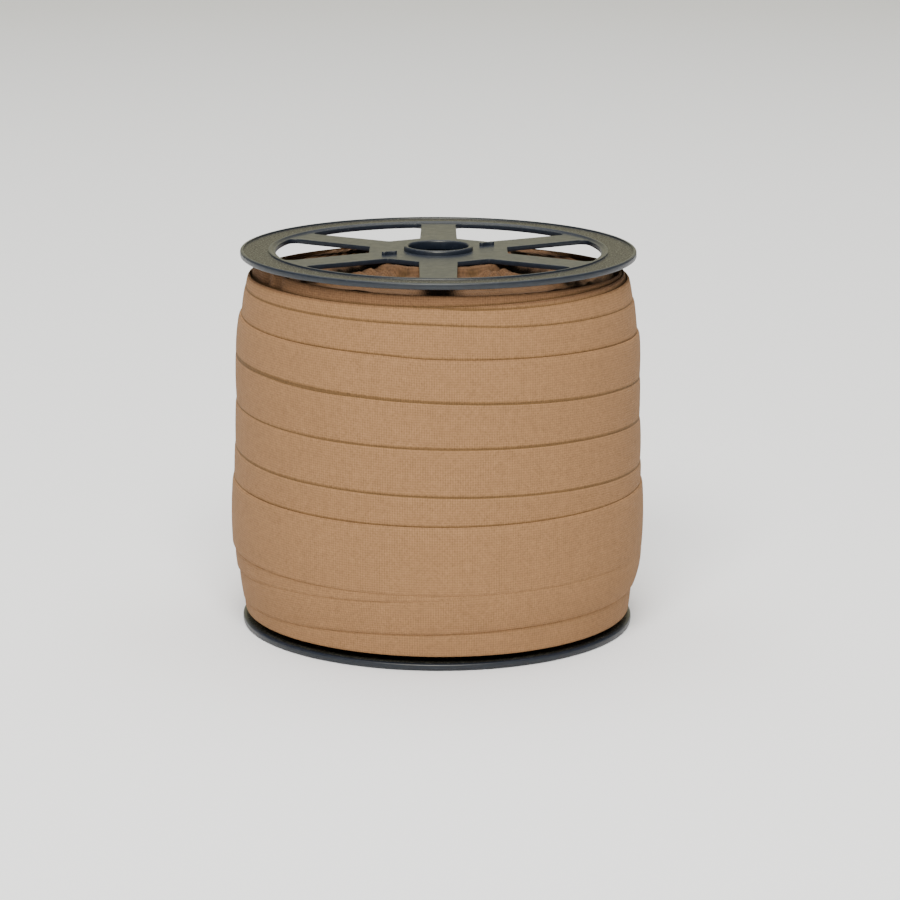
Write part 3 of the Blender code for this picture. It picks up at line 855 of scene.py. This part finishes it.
def tape_tree():
    """Sweeps the folded tape's section along a guide and gives it its measured UV map."""
    tree = bpy.data.node_groups.new("wound_tape", "GeometryNodeTree")
    face = tree.interface
    face.new_socket("Geometry", in_out="INPUT", socket_type="NodeSocketGeometry")
    inputs = {}
    for label, kind, value in (("Tape Width", "NodeSocketFloat", TAPE_WIDTH),
                               ("Tape Thickness", "NodeSocketFloat", TAPE_THICKNESS),
                               ("Edge Curl", "NodeSocketFloat", 0.00022),
                               ("Slackness", "NodeSocketFloat", 0.00016),
                               ("Seed", "NodeSocketInt", 3)):
        socket = face.new_socket(label, in_out="INPUT", socket_type=kind)
        socket.default_value = value
        inputs[label] = socket.identifier
    face.new_socket("Geometry", in_out="OUTPUT", socket_type="NodeSocketGeometry")
    nodes, links = tree.nodes, tree.links
    given = nodes.new("NodeGroupInput").outputs

    def add(kind, settings=(), **sockets):
        node = nodes.new(kind)
        for key, value in settings:
            setattr(node, key, value)
        for key, value in sockets.items():
            socket = node.inputs[key.replace("_", " ")]
            if isinstance(value, bpy.types.NodeSocket):
                links.new(value, socket)
            else:
                socket.default_value = value
        return node

    # The guide, slackened a little in and out
    path = add("GeometryNodeMeshToCurve", Mesh=given["Geometry"]).outputs[0]
    here = add("GeometryNodeInputPosition").outputs[0]
    waver = add("ShaderNodeTexNoise", (("noise_dimensions", "4D"),), Vector=here,
                W=given["Seed"], Scale=38.0, Detail=2.0)
    centred = add("ShaderNodeVectorMath", (("operation", "SUBTRACT"),))
    links.new(waver.outputs["Color"], centred.inputs[0])
    centred.inputs[1].default_value = (0.5, 0.5, 0.5)
    sized = add("ShaderNodeVectorMath", (("operation", "SCALE"),))
    links.new(centred.outputs[0], sized.inputs[0])
    links.new(given["Slackness"], sized.inputs["Scale"])
    slack = add("GeometryNodeSetPosition", Geometry=path, Offset=sized.outputs[0]).outputs[0]
    upright = add("GeometryNodeSetCurveNormal", (), Curve=slack)
    upright.mode = "Z_UP"
    lean = add("GeometryNodeInputNamedAttribute", (("data_type", "FLOAT"),), Name="lean")
    leaning = add("GeometryNodeSetCurveTilt", Curve=upright.outputs[0], Tilt=lean.outputs[0])
    measured = add("GeometryNodeSplineParameter")
    along = add("GeometryNodeCaptureAttribute", (), Geometry=leaning.outputs[0])
    along.capture_items.new("FLOAT", "Along")
    links.new(measured.outputs["Length"], along.inputs["Along"])

    def maths(operation, *terms):
        node = nodes.new("ShaderNodeMath")
        node.operation = operation
        for socket, term in zip(node.inputs, terms):
            if isinstance(term, bpy.types.NodeSocket):
                links.new(term, socket)
            else:
                socket.default_value = term
        return node.outputs[0]

    # The folded tape's section: a circle pressed flat, which leaves its two folds round
    half_width = maths("MULTIPLY", given["Tape Width"], 0.5)
    half_thick = maths("MULTIPLY", given["Tape Thickness"], 0.5)
    circle = add("GeometryNodeCurvePrimitiveCircle", Resolution=40, Radius=half_width).outputs[0]
    on_circle = add("ShaderNodeSeparateXYZ", Vector=here)
    flat_half = maths("SUBTRACT", half_width, half_thick)
    into_fold = maths("MAXIMUM", maths("SUBTRACT", maths("ABSOLUTE", on_circle.outputs["Y"]),
                                       flat_half), 0.0)
    share = maths("DIVIDE", into_fold, half_thick)
    left = maths("MAXIMUM", maths("SUBTRACT", 1.0, maths("MULTIPLY", share, share)), 0.0)
    side = maths("SIGN", on_circle.outputs["X"])
    thick = maths("MULTIPLY", maths("MULTIPLY", side, half_thick), maths("SQRT", left))
    pressed = add("ShaderNodeCombineXYZ", X=thick, Y=on_circle.outputs["Y"])
    section = add("GeometryNodeSetPosition", Geometry=circle, Position=pressed.outputs[0])
    across = add("GeometryNodeCaptureAttribute", (), Geometry=section.outputs[0])
    across.capture_items.new("VECTOR", "Place")
    links.new(here, across.inputs["Place"])

    swept = add("GeometryNodeCurveToMesh", Curve=along.outputs[0],
                Profile_Curve=across.outputs[0], Fill_Caps=True)
    apart = add("ShaderNodeSeparateXYZ", Vector=across.outputs["Place"])
    down = maths("ADD", half_width, apart.outputs["Y"])

    # The middle swells over the layers under it, and the upper fold curls in
    off_middle = maths("DIVIDE", apart.outputs["Y"], half_width)
    belly = maths("SUBTRACT", 1.0, maths("MULTIPLY", off_middle, off_middle))
    bow = add("GeometryNodeInputNamedAttribute", (("data_type", "FLOAT"),), Name="bow")
    near_fold = maths("MAXIMUM", maths("SUBTRACT", 1.0, maths("DIVIDE", down, CURL_REACH)), 0.0)
    curl = maths("MULTIPLY", maths("MULTIPLY", near_fold, near_fold), given["Edge Curl"])
    outward = maths("SUBTRACT", maths("MULTIPLY", belly, bow.outputs[0]), curl)
    level = add("ShaderNodeVectorMath", (("operation", "MULTIPLY"),))
    links.new(here, level.inputs[0])
    level.inputs[1].default_value = (1.0, 1.0, 0.0)
    away = add("ShaderNodeVectorMath", (("operation", "NORMALIZE"),))
    links.new(level.outputs[0], away.inputs[0])
    move = add("ShaderNodeVectorMath", (("operation", "SCALE"),))
    links.new(away.outputs[0], move.inputs[0])
    links.new(outward, move.inputs["Scale"])
    shaped = add("GeometryNodeSetPosition", Geometry=swept.outputs[0], Offset=move.outputs[0])

    pair = add("ShaderNodeCombineXYZ", X=along.outputs["Along"], Y=down)
    stored = add("GeometryNodeStoreNamedAttribute",
                 (("data_type", "FLOAT2"), ("domain", "CORNER")),
                 Geometry=shaped.outputs[0], Name="UVMap", Value=pair.outputs[0])
    smooth = add("GeometryNodeSetShadeSmooth", Geometry=stored.outputs[0])
    real = add("GeometryNodeRealizeInstances", Geometry=smooth.outputs[0])
    finish = add("GeometryNodeSetMaterial", Geometry=real.outputs[0])
    finish.inputs["Material"].default_value = COTTON
    links.new(finish.outputs[0], nodes.new("NodeGroupOutput").inputs[0])
    return tree, inputs


TAPE_TREE, TAPE_INPUTS = tape_tree()


def wind(path, slackness, seed):
    sweep = path.modifiers.new("Wound tape", "NODES")
    sweep.node_group = TAPE_TREE
    sweep[TAPE_INPUTS["Slackness"]] = slackness
    sweep[TAPE_INPUTS["Seed"]] = seed
    finished(path)
    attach(path, "root")
    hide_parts("tape_winding")
    return path


outer_turns = wind(outer_guide(), 0.00016, 3)


# Foot turns
# Part of the same tape, laid just before the outer turns: it starts level on the lower flange
# and climbs the other way, until the last outer turn hides it.
FOOT_START_DEGREES = 100
FOOT_TURNS = 3.1

# Height of the tape's lower edge as (turn, degrees from +X, height)
LOWER_EDGE = [(0, 100, 0.0042), (0, 218, 0.0036), (0, 329, 0.0035), (1, 100, 0.0046),
              (1, 218, 0.0077), (1, 251, 0.0093), (1, 268, 0.0097), (1, 294, 0.0104),
              (1, 329, 0.0109), (2, 60, 0.0121), (2, 150, 0.0140), (2, 221, 0.0171),
              (2, 243, 0.0180), (2, 268, 0.0190), (2, 294, 0.0203), (2, 329, 0.0212),
              (3, 100, 0.0235), (3, 136, 0.0240)]
LOWER_EDGE = [(turn + (degrees - FOOT_START_DEGREES) / 360, height)
              for turn, degrees, height in LOWER_EDGE]


def foot_cover(turns, height, angle):
    """How many later turns, of the foot and of the outer tape, lie over this height."""
    covered = 0.0
    later = turns + 1
    while later <= FOOT_TURNS:
        covered += step_up((height - smooth_table(later, LOWER_EDGE)) / LAP_RAMP + 0.5)
        later += 1
    share = ((angle - math.radians(SEAM_DEGREES)) / (2 * math.pi)) % 1.0
    for turn in range(OUTER_TURNS):
        top = smooth_table(turn + share, UPPER_EDGE)
        covered += (step_up((top - height) / LAP_RAMP + 0.5)
                    * step_up((height - top + TAPE_WIDTH) / LAP_RAMP + 0.5))
    return covered


def foot_guide():
    stations = []
    count = int(FOOT_TURNS * TURN_STEPS)
    for i in range(count + 1):
        turns = i / TURN_STEPS
        angle = math.radians(FOOT_START_DEGREES) + 2 * math.pi * turns
        bottom = smooth_table(turns, LOWER_EDGE)
        top = bottom + TAPE_WIDTH
        centre = (top + bottom) / 2
        upper = (cloth_radius(top, foot_cover(turns, top, angle)), top)
        middle = cloth_radius(centre, foot_cover(turns, centre, angle))
        lower = (cloth_radius(bottom, foot_cover(turns, bottom, angle)), bottom)
        stations.append(station(angle, upper, middle, lower, 1.0))
    return guide("foot_turns", stations)


foot_turns = wind(foot_guide(), 0.00012, 11)
